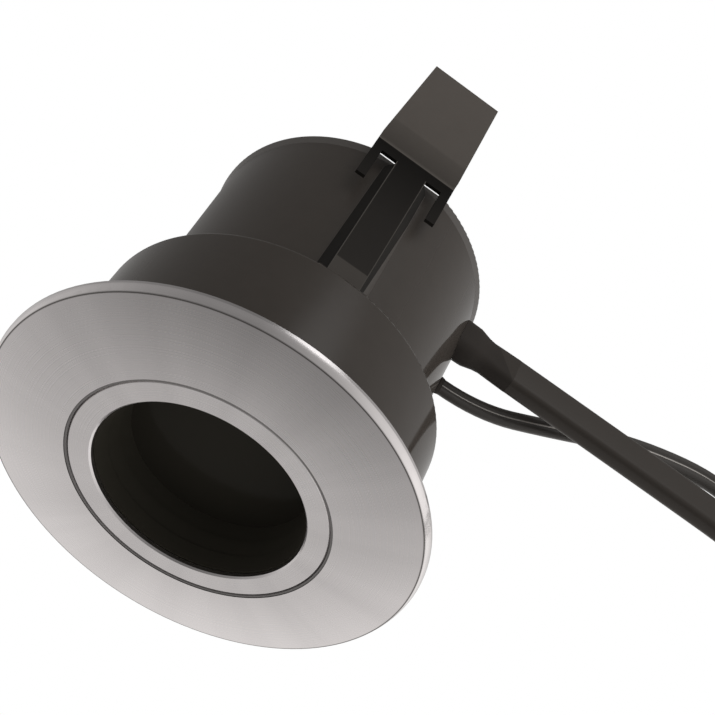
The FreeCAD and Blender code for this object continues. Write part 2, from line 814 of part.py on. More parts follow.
def screw_group(label, radius, length, circle, angles, seat, points_up, flush=False):
    """Equal screws on a circle. points_up tells which way the shank goes from its head."""
    body = new_body(label)
    head = f"{radius} * screw_head_ratio"
    along = "" if points_up else "-"
    if flush:
        outline = [
            ("0", f"{seat}"),
            ("cover_screw_head_radius", f"{seat}"),
            (radius, f"{seat} {'+' if points_up else '-'} (cover_screw_head_radius - {radius})"),
            (radius, f"{seat} {'+' if points_up else '-'} {length}"),
            ("0", f"{seat} {'+' if points_up else '-'} {length}"),
        ]
        top = seat
    else:
        sign, back = ("+", "-") if points_up else ("-", "+")
        top = f"{seat} {back} screw_head_height"
        outline = [
            ("0", top),
            (f"{head} * 0.7", top),
            (head, f"{seat} {back} screw_head_height * 0.6"),
            (head, seat),
            (radius, seat),
            (radius, f"{seat} {sign} {length}"),
            ("0", f"{seat} {sign} {length}"),
        ]
    revolve(body, f"{label}_shape", outline)
    socket = f"{radius} * socket_ratio"
    hexagon = []
    for k in range(6):
        hexagon.append((f"{socket} * cos({60 * k} * 1 deg)", f"{socket} * sin({60 * k} * 1 deg)"))
    recess = outline_sketch(body, f"{label}_socket_outline", "XY_Plane", [hexagon], offset=top)
    pocket(body, f"{label}_socket", recess, "socket_depth", reverse=points_up)
    copies = []
    for number, angle in enumerate(angles):
        copy = doc.addObject("Part::Compound", f"{label}_{number}")
        copy.Links = [body]
        place = bound(f"{circle} * cos({angle} * 1 deg)"), bound(f"{circle} * sin({angle} * 1 deg)")
        copy.setExpression("Placement.Base.x", place[0])
        copy.setExpression("Placement.Base.y", place[1])
        copies.append(copy)
    body.Label = f"{label}_pattern"
    group = doc.addObject("Part::Compound", f"{label}_group")
    group.Links = copies
    group.Label = label
    doc.recompute()
    return group


# ---------------------------------------------------------------- driver


def block(name, length, width, height, across, up, low):
    box = doc.addObject("Part::Box", name)
    box.setExpression("Length", bound(length))
    box.setExpression("Width", bound(width))
    box.setExpression("Height", bound(height))
    box.setExpression("Placement.Base.x", bound(across))
    box.setExpression("Placement.Base.y", bound(up))
    box.setExpression("Placement.Base.z", bound(low))
    return box


def can(name, radius, height, across, up, low):
    cylinder = doc.addObject("Part::Cylinder", name)
    cylinder.setExpression("Radius", bound(radius))
    cylinder.setExpression("Height", bound(height))
    cylinder.setExpression("Placement.Base.x", bound(across))
    cylinder.setExpression("Placement.Base.y", bound(up))
    cylinder.setExpression("Placement.Base.z", bound(low))
    return cylinder


board_low = "front_rear_face + rear_floor + standoff_height"
board_high = f"{board_low} + driver_board_thickness"


def make_driver_board():
    body = new_body("driver_board")
    revolve(body, "driver_disc", [
        ("0", board_low), ("driver_board_radius", board_low),
        ("driver_board_radius", board_high), ("0", board_high)])
    circles = []
    for turn in (60, 180, 300):
        across, up = on_circle("standoff_circle", 0, turn)
        circles.append((across, up, "driver_screw_radius + 2 * screw_clearance"))
    holes = circle_sketch(body, "driver_holes", "XY_Plane", circles, offset=board_high)
    pocket(body, "driver_drilling", holes, "driver_board_thickness")
    return body


def make_transformer():
    """Bobbin with its ferrite core standing a little proud across the middle."""
    bobbin = block("bobbin", "transformer_length", "transformer_width", "transformer_height",
                   "transformer_place", "-transformer_width / 2", board_high)
    core = block("ferrite", "transformer_length - 2 * core_overhang",
                 "transformer_width + 2 * core_overhang", "core_height",
                 "transformer_place + core_overhang", "-transformer_width / 2 - core_overhang",
                 f"{board_high} + (transformer_height - core_height) / 2")
    fused = doc.addObject("Part::MultiFuse", "transformer")
    fused.Shapes = [bobbin, core]
    fused.Label = "transformer"
    return fused


def make_capacitors():
    electrolytic = can("electrolytic", "capacitor_radius", "capacitor_height",
                       "capacitor_place", "capacitor_side", board_high)
    film = block("film", "film_length", "film_width", "film_height",
                 "transformer_place", "-film_side", board_high)
    group = doc.addObject("Part::Compound", "capacitors")
    group.Links = [electrolytic, film]
    group.Label = "capacitors"
    return group


def make_terminal_block():
    """Block with two wire entries on top and one pair of entries on the +X side."""
    shell = block("terminal_shell", "terminal_length", "terminal_width", "terminal_height",
                  "terminal_place", "-terminal_width / 2", board_high)
    entries = []
    for number, across in enumerate(("-terminal_width / 4", "terminal_width / 4")):
        entries.append(can(f"terminal_entry_{number}", "terminal_entry_radius",
                           "terminal_height / 3", "terminal_place + terminal_length / 2", across,
                           f"{board_high} + terminal_height * 2 / 3"))
    tools = doc.addObject("Part::MultiFuse", "terminal_entries")
    tools.Shapes = entries
    cut = doc.addObject("Part::Cut", "terminal_block")
    cut.Base = shell
    cut.Tool = tools
    cut.Label = "terminal_block"
    return cut


# ---------------------------------------------------------------- board clips


def make_clip_arm(label, turn):
    """One sheet of spring steel: hinge eye, strip, two side fingers and a flared plate."""
    body = new_body(label)
    half = "clip_sheet / 2"
    tangent = "tan(plate_angle / 2 * 1 deg)"
    sine = "sin(plate_angle * 1 deg)"
    cosine = "cos(plate_angle * 1 deg)"
    eye_inner = "(pin_radius + pin_clearance)"
    eye_outer = "(pin_radius + pin_clearance + clip_sheet)"
    eye_centre = f"(clip_plane - {half} - {eye_inner})"
    tip_across = f"(clip_plane + plate_length * {sine})"
    tip_up = f"(clip_fold + plate_length * {cosine})"
    # sketch coordinate is -(distance from the axis), so the clip stands at -Y
    side = outline_sketch(body, f"{label}_profile", "YZ_Plane", [[
        (f"-(clip_plane - {half})", "pin_height"),
        (f"-(clip_plane - {half})", f"clip_fold + {half} * {tangent}"),
        (f"-({tip_across} - {half} * {cosine})", f"{tip_up} + {half} * {sine}"),
        (f"-({tip_across} + {half} * {cosine})", f"{tip_up} - {half} * {sine}"),
        (f"-(clip_plane + {half})", f"clip_fold - {half} * {tangent}"),
        (f"-(clip_plane + {half})", "pin_height"),
    ]])
    pad(body, f"{label}_sheet", side, "plate_root_width", midplane=True)
    root = "plate_root_width / 2"
    strip = "strip_width / 2"
    finger = "(plate_root_width / 2 - finger_width)"
    low = "pin_height - 5"
    cuts = []
    for sign in ("", "-"):
        cuts.append([
            (f"{sign}({strip})", low),
            (f"{sign}({strip})", "slot_top"),
            (f"{sign}{finger}", "slot_top"),
            (f"{sign}{finger}", "finger_end"),
            (f"{sign}({root} + 1)", "finger_end"),
            (f"{sign}({root} + 1)", low),
        ])
        cuts.append([
            (f"{sign}({root})", "clip_fold + clip_sheet"),
            (f"{sign}(plate_tip_width / 2)", f"{tip_up} + clip_sheet"),
            (f"{sign}({root} + 1)", f"{tip_up} + clip_sheet"),
            (f"{sign}({root} + 1)", "clip_fold + clip_sheet"),
        ])
    outline = outline_sketch(body, f"{label}_blank", "XZ_Plane", cuts)
    pocket(body, f"{label}_stamping", outline, midplane=True)
    inner_fold = edges_at(body.Shape, 1, -value(f"clip_plane + {half}"),
                          value(f"clip_fold - {half} * {tangent}"))
    outer_fold = edges_at(body.Shape, 1, -value(f"clip_plane - {half}"),
                          value(f"clip_fold + {half} * {tangent}"))
    soften(body, f"{label}_fold_inside", inner_fold, "fold_inner_radius")
    outer_fold = edges_at(body.Shape, 1, -value(f"clip_plane - {half}"),
                          value(f"clip_fold + {half} * {tangent}"))
    soften(body, f"{label}_fold_outside", outer_fold, "fold_inner_radius + clip_sheet")
    # the sheet curls from the strip under the pin and most of the way round it
    curl = []
    for reach, angles, side_sign in ((eye_outer, (180, 320, 460), -1), (eye_inner, (460, 320, 180), 1)):
        for angle in angles:
            across = f"-{eye_centre} + {reach} * cos({angle} * 1 deg)"
            up = f"pin_height + {reach} * sin({angle} * 1 deg)"
            if angle == angles[-1]:
                curl.append((across, up))
            else:
                curl.append((across, up, {"radius": reach, "side": side_sign}))
    wrap = outline_sketch(body, f"{label}_eye_outline", "YZ_Plane", [curl])
    pad(body, f"{label}_eye", wrap, "strip_width", midplane=True)
    body.Placement = Placement(Vector(0, 0, 0), Rotation(Vector(0, 0, 1), turn))
    return body


eye_place = "(clip_plane - pin_radius - pin_clearance - clip_sheet / 2)"
lug_outer = "(strip_width / 2 + washer_thickness + 2 * side_clearance + lug_thickness)"


def make_clip_pin(label, turn):
    """Headed hinge pin, pressed through both lugs."""
    body = new_body(label)
    shank = circle_sketch(body, f"{label}_shank_outline", "YZ_Plane",
                          [(f"-{eye_place}", "pin_height", "pin_radius")])
    pad(body, f"{label}_shank", shank, f"2 * {lug_outer}", midplane=True)
    head = circle_sketch(body, f"{label}_head_outline", "YZ_Plane",
                         [(f"-{eye_place}", "pin_height", "pin_head_radius")],
                         offset=lug_outer)
    pad(body, f"{label}_head", head, "pin_head_thickness")
    body.Placement = Placement(Vector(0, 0, 0), Rotation(Vector(0, 0, 1), turn))
    return body


def make_clip_washers(label, turn):
    """Two friction washers between the eye and the lugs."""
    washers = []
    for sign in (1, -1):
        body = new_body(f"{label}_{'right' if sign > 0 else 'left'}")
        start = "strip_width / 2 + side_clearance"
        rim = circle_sketch(body, f"{body.Name}_outline", "YZ_Plane", [
            (f"-{eye_place}", "pin_height", "washer_radius"),
            (f"-{eye_place}", "pin_height", "pin_radius + pin_clearance"),
        ], offset=start if sign > 0 else f"-({start})")
        pad(body, f"{body.Name}_disc", rim, "washer_thickness", reverse=sign < 0)
        washers.append(body)
    group = doc.addObject("Part::Compound", f"{label}_group")
    group.Links = washers
    group.Label = label
    group.Placement = Placement(Vector(0, 0, 0), Rotation(Vector(0, 0, 1), turn))
    return group


# ---------------------------------------------------------------- cable outlets


def bar(height, width, centre_across, centre_up):
    """An upright bar outline with cut corners, in expressions."""
    cut = f"({width}) * 0.3"
    side = f"({width}) / 2"
    top = f"({height}) / 2"
    corners = []
    for across, up in ((f"{side}", f"{cut} - {top}"), (f"{side}", f"{top} - {cut}"),
                       (f"{side} - {cut}", f"{top}"), (f"{cut} - {side}", f"{top}"),
                       (f"-{side}", f"{top} - {cut}"), (f"-{side}", f"{cut} - {top}"),
                       (f"{cut} - {side}", f"-{top}"), (f"{side} - {cut}", f"-{top}")):
        corners.append((f"{centre_across} + ({across})", f"{centre_up} + ({up})"))
    return corners


def make_outlet(label, across, centre, start, shank, root, tip, length):
    """Moulded boot: a shank through the wall and a tapering nose outside it.

    shank, root and tip are each (height, width).
    """
    body = new_body(label)
    plug = outline_sketch(body, f"{label}_shank_outline", "YZ_Plane",
                          [bar(shank[0], shank[1], across, centre)],
                          offset=f"{start} - shank_reach")
    pad(body, f"{label}_shank", plug, "shank_reach")
    near = outline_sketch(body, f"{label}_root_outline", "YZ_Plane",
                          [bar(root[0], root[1], across, centre)], offset=start)
    far = outline_sketch(body, f"{label}_tip_outline", "YZ_Plane",
                         [bar(tip[0], tip[1], across, centre)], offset=f"{start} + {length}")
    nose = body.newObject("PartDesign::AdditiveLoft", f"{label}_nose")
    nose.Profile = near
    nose.Sections = [far]
    nose.Ruled = True
    doc.recompute()
    return body


# ---------------------------------------------------------------- cables


def rounded_path(points):
    """Straight runs joined by tangent arcs, each as large as its two runs allow."""
    edges = []
    radii = []
    here = points[0]
    for before, corner, after in zip(points, points[1:], points[2:]):
        inward = (before - corner).normalize()
        outward = (after - corner).normalize()
        turn = math.pi - inward.getAngle(outward)
        shorter = min(before.distanceToPoint(corner), corner.distanceToPoint(after))
        cut = 0.45 * shorter
        radius = cut / math.tan(turn / 2)
        start = corner + inward * cut
        end = corner + outward * cut
        bisector = (inward + outward).normalize()
        middle = corner + bisector * (radius / math.cos(turn / 2) - radius)
        edges.append(Part.LineSegment(here, start).toShape())
        edges.append(Part.Arc(start, middle, end).toShape())
        radii.append(radius)
        here = end
    edges.append(Part.LineSegment(here, points[-1]).toShape())
    return edges, radii


def cut_corner_points(height, width):
    """The eight corners of an upright bar section with well rounded edges."""
    cut = width * 0.3
    top = height / 2
    side = width / 2
    return [(side, cut - top), (side, top - cut), (side - cut, top), (cut - side, top),
            (-side, top - cut), (-side, cut - top), (cut - side, -top), (side - cut, -top)]


def flat_section(place, along, width, thickness):
    """Section standing upright, square to the path's start."""
    across = Vector(0, 0, 1).cross(along).normalize()
    upright = along.cross(across).normalize()
    corners = [place + across * u + upright * v for u, v in cut_corner_points(width, thickness)]
    return Part.makePolygon(corners + corners[:1])


def swept(edges, section):
    """Carry a section along a flat path, square to the run all the way."""
    return Part.Wire(edges).makePipeShell([section], True, False)


def solid_piece(label, shape):
    item = doc.addObject("Part::Feature", label)
    item.Shape = shape
    item.Label = label
    return item


def report_length(label, shape, edges, section):
    length = sum(edge.Length for edge in edges)
    area = Part.Face(section).Area
    share = shape.Volume / (area * length)
    print(f"{label}: {length:.1f} mm long, volume / (section x length) = {share:.4f}")
    return length


def spiral(start, heading, radius, pitch, turns, turn_sign, tail):
    """A flat coil: tightening half circles and a straight end that points inward."""
    here = start
    edges = []
    direction = heading
    size = radius
    for _ in range(int(round(2 * turns))):
        inward = Vector(-direction.y, direction.x, 0) * turn_sign
        centre = here + inward * size
        end = centre + inward * size
        edges.append(Part.Arc(here, centre + direction * size, end).toShape())
        here = end
        direction = direction * -1
        size -= pitch / 2
    inward = Vector(-direction.y, direction.x, 0) * turn_sign
    size = size / 2
    centre = here + inward * size
    end = centre + direction * size
    middle = centre + (direction - inward) * (size / math.sqrt(2))
    edges.append(Part.Arc(here, middle, end).toShape())
    tail_end = end + inward * tail
    edges.append(Part.LineSegment(end, tail_end).toShape())
    return edges, tail_end, inward


def least_gap(edges, thickness):
    """Least clear distance between neighbouring turns, measured on points."""
    points = []
    travelled = 0.0
    for edge in edges:
        steps = max(int(edge.Length / 3), 2)
        for k in range(steps):
            points.append((travelled + edge.Length * k / steps,
                           edge.valueAt(edge.FirstParameter
                                        + (edge.LastParameter - edge.FirstParameter) * k / steps)))
        travelled += edge.Length
    least = 1e9
    for i, (where, point) in enumerate(points):
        for further, other in points[i + 1:]:
            if further - where > 30 and abs(other.z - point.z) < 1:
                least = min(least, point.distanceToPoint(other))
    return least - thickness


# routes as (x, z) in an upright plane, from the outlet to the floor
supply_route = [
    (43.7, 69.5),
    (86.0, 69.5),
    (115.0, 69.1),
    (134.0, 57.0),
    (147.0, 34.5),
    (159.0, 14.2),
    (176.5, 3.65),
    (196.0, 3.65),
]
lead_route = [
    (32.0, 62.2),
    (42.0, 62.2),
    (59.0, 71.4),
    (79.0, 83.6),
    (106.0, 91.2),
    (120.0, 82.5),
    (129.0, 64.0),
    (134.0, 42.0),
    (143.0, 22.0),
    (159.0, 9.45),
    (178.0, 9.45),
]


resting_gap = 0.05


def make_cable(name, route, plane, width, thickness, coil_radius, turns, turn_sign):
    """Free stretch and put-away coil of one flat cable; returns both and the coil's end."""
    route = [Vector(x, plane, z) for x, z in route]
    edges, radii = rounded_path(route)
    print(name, "bend radii:", " ".join(f"{radius:.0f}" for radius in radii))
    along = (route[1] - route[0]).normalize()
    section = flat_section(route[0], along, width, thickness)
    stretch = swept(edges, section)
    total = report_length(name, stretch, edges, section)
    heading = Vector(1, 0, 0)
    pitch = thickness + value("coil_gap")
    loops, tail_end, direction = spiral(
        route[-1], heading, coil_radius, pitch, turns, turn_sign, width)
    print(name, f"coil gap {least_gap(loops, thickness):.2f} mm")
    section = flat_section(route[-1], heading, width, thickness)
    coil = swept(loops, section)
    total += report_length(f"{name} coil", coil, loops, section)
    print(f"{name}: {total:.0f} mm in all")
    return stretch, coil, tail_end, direction


def make_plug(label, prefix, place, direction, drop):
    """Moulded in-line connector with a round nose. drop is how far it reaches below the cable's line."""
    length = value(f"{prefix}_length")
    width = value(f"{prefix}_width")
    height = value(f"{prefix}_height")
    nose_length = value(f"{prefix}_nose_length")
    nose_radius = value(f"{prefix}_nose_radius")
    shell = Part.makeBox(length, width, height, Vector(0, -width / 2, -drop))
    shell = shell.makeFillet(value(f"{prefix}_round"), shell.Edges)
    nose = Part.makeCylinder(nose_radius, nose_length, Vector(length - 1, 0, height / 2 - drop),
                             Vector(1, 0, 0))
    body = shell.fuse(nose).removeSplitter()
    angle = math.degrees(math.atan2(direction.y, direction.x))
    item = solid_piece(label, body)
    item.Placement = Placement(place, Rotation(Vector(0, 0, 1), angle))
    return item


def core_wire(points, radius):
    """A thin six-sided core along straight runs and tangent arcs."""
    edges, _ = rounded_path(points)
    along = (points[1] - points[0]).normalize()
    across = Vector(0, 0, 1).cross(along).normalize()
    upright = along.cross(across)
    corners = []
    for k in range(6):
        angle = math.radians(60 * k)
        corners.append(points[0] + across * (radius * math.cos(angle))
                       + upright * (radius * math.sin(angle)))
    section = Part.makePolygon(corners + corners[:1])
    return Part.Wire(edges).makePipeShell([section], True, False)


# ---------------------------------------------------------------- assembly

keep(make_bezel())
keep(ring("bezel_gasket", "gasket_inner_radius", "gasket_outer_radius",
          "bezel_back", "bezel_back + gasket_thickness"))
keep(make_lens_ring())
keep(make_baffle())
keep(make_lens())
lens_back = "lens_front + lens_thickness"
keep(ring("lens_seal", "lens_seal_inner_radius", "front_bore_radius - seal_clearance",
          lens_back, f"{lens_back} + lens_seal_thickness"))
keep(make_reflector())
keep(make_led_board())
keep(disc("led_chip", "led_chip_radius", "led_board_front - led_chip_thickness", "led_board_front"))
pad_front = "led_board_front + led_board_thickness"
keep(disc("thermal_pad", "thermal_pad_radius", pad_front, f"{pad_front} + thermal_pad_thickness"))
keep(screw_group("led_board_screws", "board_screw_radius", "board_screw_length",
                 "board_screw_circle", (90, 270), "led_board_front", points_up=True))
keep(make_front_housing())
keep(make_rear_housing())
keep(ring("housing_seal",
          "seal_groove_radius - seal_groove_width / 2 + seal_clearance",
          "seal_groove_radius + seal_groove_width / 2 - seal_clearance",
          "front_rear_face", "front_rear_face + seal_groove_depth - seal_clearance"))
keep(screw_group("housing_screws", "base_screw_radius", "base_screw_length",
                 "base_screw_circle", (0, 120, 240), "front_rear_face + rear_floor",
                 points_up=False))
keep(make_driver_board())
keep(screw_group("driver_screws", "driver_screw_radius", "driver_screw_length",
                 "standoff_circle", (60, 180, 300), board_high, points_up=False))
keep(make_transformer())
keep(make_capacitors())
keep(make_terminal_block())
keep(make_rear_cover())
keep(ring("cover_seal", "spigot_radius + seal_clearance",
          "spigot_radius + seal_clearance + cover_seal_width",
          "rear_rim - pillar_top_drop", "rear_rim"))
keep(screw_group("cover_screws", "cover_screw_radius", "cover_screw_length",
                 "pillar_circle", (60, 180, 300), "cover_top", points_up=False, flush=True))
for clip_side, clip_turn in (("a", 0), ("b", 180)):
    keep(make_clip_arm(f"clip_arm_{clip_side}", clip_turn))
    keep(make_clip_pin(f"clip_pin_{clip_side}", clip_turn))
    keep(make_clip_washers(f"clip_washers_{clip_side}", clip_turn))
keep(make_outlet(
    "supply_boot", "supply_offset", "supply_outlet", "boot_start",
    ("boot_root_height", "boot_root_width"), ("boot_root_height", "boot_root_width"),
    ("boot_tip_height", "boot_tip_width"), "boot_length"))
keep(make_outlet(
    "lead_grommet", "0", "lead_outlet", "grommet_start",
    ("lead_shank_height", "lead_shank_width"), ("grommet_root_height", "grommet_root_width"),
    ("grommet_tip_height", "grommet_tip_width"), "grommet_length"))

supply_parts = make_cable("supply_cable", supply_route, value("supply_offset"),
                          value("supply_width"), value("supply_thickness"),
                          value("supply_coil_radius"), value("supply_coil_turns"), 1)
keep(solid_piece("supply_cable", supply_parts[0]))
keep(solid_piece("supply_coil", supply_parts[1]))
keep(make_plug("supply_plug", "plug", supply_parts[2], supply_parts[3],
               value("supply_width") / 2 + resting_gap))
lead_parts = make_cable("signal_lead", lead_route, 0.0,
                        value("lead_width"), value("lead_thickness"),
                        value("lead_coil_radius"), value("lead_coil_turns"), 1)
keep(solid_piece("signal_lead", lead_parts[0]))
keep(solid_piece("signal_coil", lead_parts[1]))
keep(make_plug("signal_plug", "lead_plug", lead_parts[2], lead_parts[3],
               value("lead_width") / 2 + resting_gap))

# wires inside: two supply cores, one signal pair and the lamp wires
terminal_top = value(board_high) + value("terminal_height")
terminal_x = value("terminal_place + terminal_length / 2")
inside_x = value("boot_start") - value("shank_reach")
supply_cores = []
for lift, across in ((1.4, -value("terminal_width") / 4), (-1.4, value("terminal_width") / 4)):
    start = Vector(inside_x, value("supply_offset"), value("supply_outlet") + lift)
    supply_cores.append(core_wire([
        start,
        start + Vector(-value("core_run"), 0, 0),
        Vector(terminal_x, across, start.z - value("core_run")),
        Vector(terminal_x, across, terminal_top - value("terminal_height") / 3),
    ], value("core_radius")))
keep(solid_piece("supply_cores", Part.makeCompound(supply_cores)))
lead_start = Vector(value("grommet_start") - value("shank_reach"), 0, value("lead_outlet"))
signal_core = core_wire([
    lead_start,
    lead_start + Vector(-value("signal_core_run"), 0, 0),
    Vector(value("terminal_place + terminal_length + signal_core_bow"), value("signal_core_side"),
           value(f"{board_high} + signal_core_height")),
    Vector(value("terminal_place + terminal_length + signal_core_gap"), value("signal_core_side"),
           value(f"{board_high} + signal_core_height - signal_core_drop")),
], value("core_radius"))
keep(solid_piece("signal_core", signal_core))
lamp_wires = []
for gap in (-0.8, 0.8):
    angle = math.radians(value("wire_hole_angle"))
    circle = value("wire_hole_circle")
    foot = Vector(circle * math.cos(angle) - gap * math.sin(angle),
                  circle * math.sin(angle) + gap * math.cos(angle), value(pad_front))
    lamp_wires.append(Part.makeCylinder(value("wire_radius"), value(board_low) - foot.z, foot))
keep(solid_piece("lamp_wires", Part.makeCompound(lamp_wires)))

doc.recompute()

faults = []
for thing in doc.Objects:
    if "Invalid" in thing.State or "Error" in thing.State:
        faults.append(f"{thing.Name} is {thing.State}")
for piece in pieces:
    if piece.Shape.isNull() or not piece.Shape.isValid():
        faults.append(f"{piece.Label} has no valid shape")
if faults:
    raise RuntimeError("; ".join(faults))

os.makedirs("parts", exist_ok=True)
for piece in pieces:
    piece.Shape.exportStep(f"parts/{piece.Label}.step")
print(len(pieces), "nodes written")
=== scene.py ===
import json
import math

import bmesh
import bpy
from mathutils import Matrix, Vector


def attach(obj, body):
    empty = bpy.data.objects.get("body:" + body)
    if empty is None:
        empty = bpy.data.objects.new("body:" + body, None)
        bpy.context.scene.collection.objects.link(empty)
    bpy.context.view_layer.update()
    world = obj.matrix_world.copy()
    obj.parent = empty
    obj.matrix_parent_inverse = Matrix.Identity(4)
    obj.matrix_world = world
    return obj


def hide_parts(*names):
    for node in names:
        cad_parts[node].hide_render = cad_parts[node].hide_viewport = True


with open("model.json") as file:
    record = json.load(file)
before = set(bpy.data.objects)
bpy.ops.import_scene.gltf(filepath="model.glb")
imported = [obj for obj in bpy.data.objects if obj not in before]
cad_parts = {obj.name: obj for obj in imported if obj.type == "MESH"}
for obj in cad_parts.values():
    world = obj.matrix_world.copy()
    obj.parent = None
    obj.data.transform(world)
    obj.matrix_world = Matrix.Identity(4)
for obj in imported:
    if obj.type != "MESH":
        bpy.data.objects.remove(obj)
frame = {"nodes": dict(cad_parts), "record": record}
nodes = frame["nodes"]
print("loaded", len(nodes), "nodes")

# the camera, cords and finer pieces are set in millimetres; materials, cover and stage in metres
millimetre = 0.001


def newObject(name, data):
    thing = bpy.data.objects.new(name, data)
    bpy.context.scene.collection.objects.link(thing)
    return thing


# found from the outlines of the bezel, ring and can in the photo
view = {
    "place": (-7.4953, -190.3843, -147.8638),
    "right": (0.81686, -0.48326, 0.31496),
    "down": (0.55619, 0.51507, -0.65220),
    "forward": (0.15295, 0.70793, 0.68952),
    "sensor": 36, "lens": 65.68, "shift": (-0.07537, 0.14935),
    "seen": (0.01, 20),  # nearest and farthest, in metres
}


def makeCamera():
    data = bpy.data.cameras.new("camera")
    camera = newObject("camera", data)
    right, down, forward = (Vector(view[side]) for side in ("right", "down", "forward"))
    turn = Matrix((right, -down, -forward)).transposed()
    place = Matrix.Translation(Vector(view["place"]) * millimetre)
    camera.matrix_world = place @ turn.to_4x4()
    data.sensor_width = view["sensor"]
    data.lens = view["lens"]
    data.shift_x, data.shift_y = view["shift"]
    data.clip_start, data.clip_end = view["seen"]
    bpy.context.scene.camera = camera


makeCamera()
print("camera set")

# a cord follows (x, z) points in a plane of one y, and then lies in a coil; its fullness swells
# the stretch that the photo shows, point by point
supply = {
    "plane": -8.0,
    "route": [(43.7, 69.5), (86.0, 69.5), (115.0, 69.1), (134.0, 57.0), (147.0, 34.5),
              (159.0, 14.2), (176.5, 3.65), (196.0, 3.65)],
    "width": 7.2, "thickness": 4.0, "corner": 1.2, "cornerSteps": 5,
    "coilRadius": 36.0, "halfTurns": 5,
    "fullness": [1.16, 1.19, 1.2, 1.15, 1.08, 1.03],
}
signal = {
    "plane": 0.0,
    "route": [(32.0, 62.2), (42.0, 62.2), (59.0, 71.4), (79.0, 83.6), (106.0, 91.2),
              (120.0, 82.5), (129.0, 64.0), (134.0, 42.0), (143.0, 22.0), (159.0, 9.45),
              (178.0, 9.45)],
    "width": 4.2, "thickness": 2.1, "notch": 0.35, "coreSteps": 10,
    "coilRadius": 22.0, "halfTurns": 4,
    "fullness": [1.05, 1.06, 1.12, 1.26, 1.34, 1.25, 1.14, 1.06],
}
coil = {"gap": 0.7, "halfSteps": 8, "endSteps": 2}
cordSmoothness = 8


# corners of a polygon outside an arc, so that the smooth curve touches the arc
def arcPoints(centre, inward, direction, size, sweep, steps):
    step = sweep / steps
    reach = size / math.cos(step / 2)
    points = []
    for k in range(steps):
        angle = step * (k + 0.5)
        points.append(centre - inward * (reach * math.cos(angle))
                      + direction * (reach * math.sin(angle)))
    return points


# half turns that get narrower, then a quarter turn and a straight end for the plug
def coilPoints(cord):
    x, z = cord["route"][-1]
    here = Vector((x, cord["plane"], z))
    direction = Vector((1, 0, 0))
    size = cord["coilRadius"]
    points = []
    for _ in range(cord["halfTurns"]):
        inward = Vector((-direction.y, direction.x, 0))
        centre = here + inward * size
        points += arcPoints(centre, inward, direction, size, math.pi, coil["halfSteps"])
        here = centre + inward * size
        direction = -direction
        size -= (cord["thickness"] + coil["gap"]) / 2
    inward = Vector((-direction.y, direction.x, 0))
    size = size / 2
    centre = here + inward * size
    points += arcPoints(centre, inward, direction, size, math.pi / 2, coil["endSteps"])
    points.append(centre + direction * size + inward * cord["width"])
    return points


# a closed section used as a bevel; it isn't shown itself
def profileCurve(name, outline):
    data = bpy.data.curves.new(name, "CURVE")
    data.dimensions = "2D"
    data.fill_mode = "NONE"
    spline = data.splines.new("POLY")
    spline.points.add(len(outline) - 1)
    for point, (x, y) in zip(spline.points, outline):
        point.co = (x, y, 0, 1)
    spline.use_cyclic_u = True
    shape = newObject(name, data)
    shape.hide_render = True
    shape.hide_viewport = True
    return shape


# a bar with rounded corners, centred
def roundedBar(width, height, corner, steps):
    points = []
    for quarter, (sx, sy) in enumerate(((1, 1), (-1, 1), (-1, -1), (1, -1))):
        for k in range(steps + 1):
            angle = math.pi / 2 * (quarter + k / steps)
            points.append((sx * (width / 2 - corner) + corner * math.cos(angle),
                           sy * (height / 2 - corner) + corner * math.sin(angle)))
    return points


# two round cores, one above the other, with a notch on both sides between them
def figureEight(cord):
    radius = cord["thickness"] / 2
    offset = cord["width"] / 2 - radius
    half = math.pi - cord["notch"]
    points = []
    for side, base in ((1, 0), (-1, math.pi)):
        for k in range(cord["coreSteps"] + 1):
            angle = base - half + 2 * half * k / cord["coreSteps"]
            points.append((radius * math.sin(angle), side * offset + radius * math.cos(angle)))
    return points


def makeCord(name, cord, profile):
    data = bpy.data.curves.new(name, "CURVE")
    data.dimensions = "3D"
    data.twist_mode = "Z_UP"
    data.resolution_u = cordSmoothness
    data.use_fill_caps = True
    data.bevel_mode = "OBJECT"
    data.bevel_object = profile
    places = [Vector((x, cord["plane"], z)) for x, z in cord["route"]] + coilPoints(cord)
    fullness = cord["fullness"] + [1.0] * (len(places) - len(cord["fullness"]))
    spline = data.splines.new("NURBS")
    spline.points.add(len(places) - 1)
    for point, place, full in zip(spline.points, places, fullness):
        point.co = (*(place * millimetre), 1)
        point.radius = full * millimetre  # the section is in millimetres
    spline.order_u = 3
    spline.use_endpoint_u = True
    rope = newObject(name, data)
    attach(rope, "light")
    return rope


flatBar = roundedBar(supply["thickness"], supply["width"], supply["corner"],
                     supply["cornerSteps"])
flatProfile = profileCurve("flatProfile", flatBar)
eightProfile = profileCurve("eightProfile", figureEight(signal))
supplyCable = makeCord("supply_cable_jacket", supply, flatProfile)
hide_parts("supply_cable", "supply_coil")
signalLead = makeCord("signal_lead_jacket", signal, eightProfile)
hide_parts("signal_lead", "signal_coil")
print("cords laid")

sharpAngle = math.radians(32)


# a smooth closed mesh that rides on a body
def meshPiece(name, body, places, faces, stands=()):
    data = bpy.data.meshes.new(name)
    data.from_pydata([tuple(c * millimetre for c in place) for place in places], [], faces)
    data.validate()
    work = bmesh.new()
    work.from_mesh(data)
    bmesh.ops.recalc_face_normals(work, faces=work.faces)
    work.to_mesh(data)
    work.free()
    data.shade_smooth()
    data.set_sharp_from_angle(angle=sharpAngle)
    piece = newObject(name, data)
    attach(piece, body)
    if stands:
        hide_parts(*stands)
    return piece


# fills the groove between the inner ring and the bezel, a little behind the face; its grey is
# painted shade for the gap
groove = {"inner": 26.22, "outer": 26.62, "front": 0.12, "back": 0.7, "steps": 180}


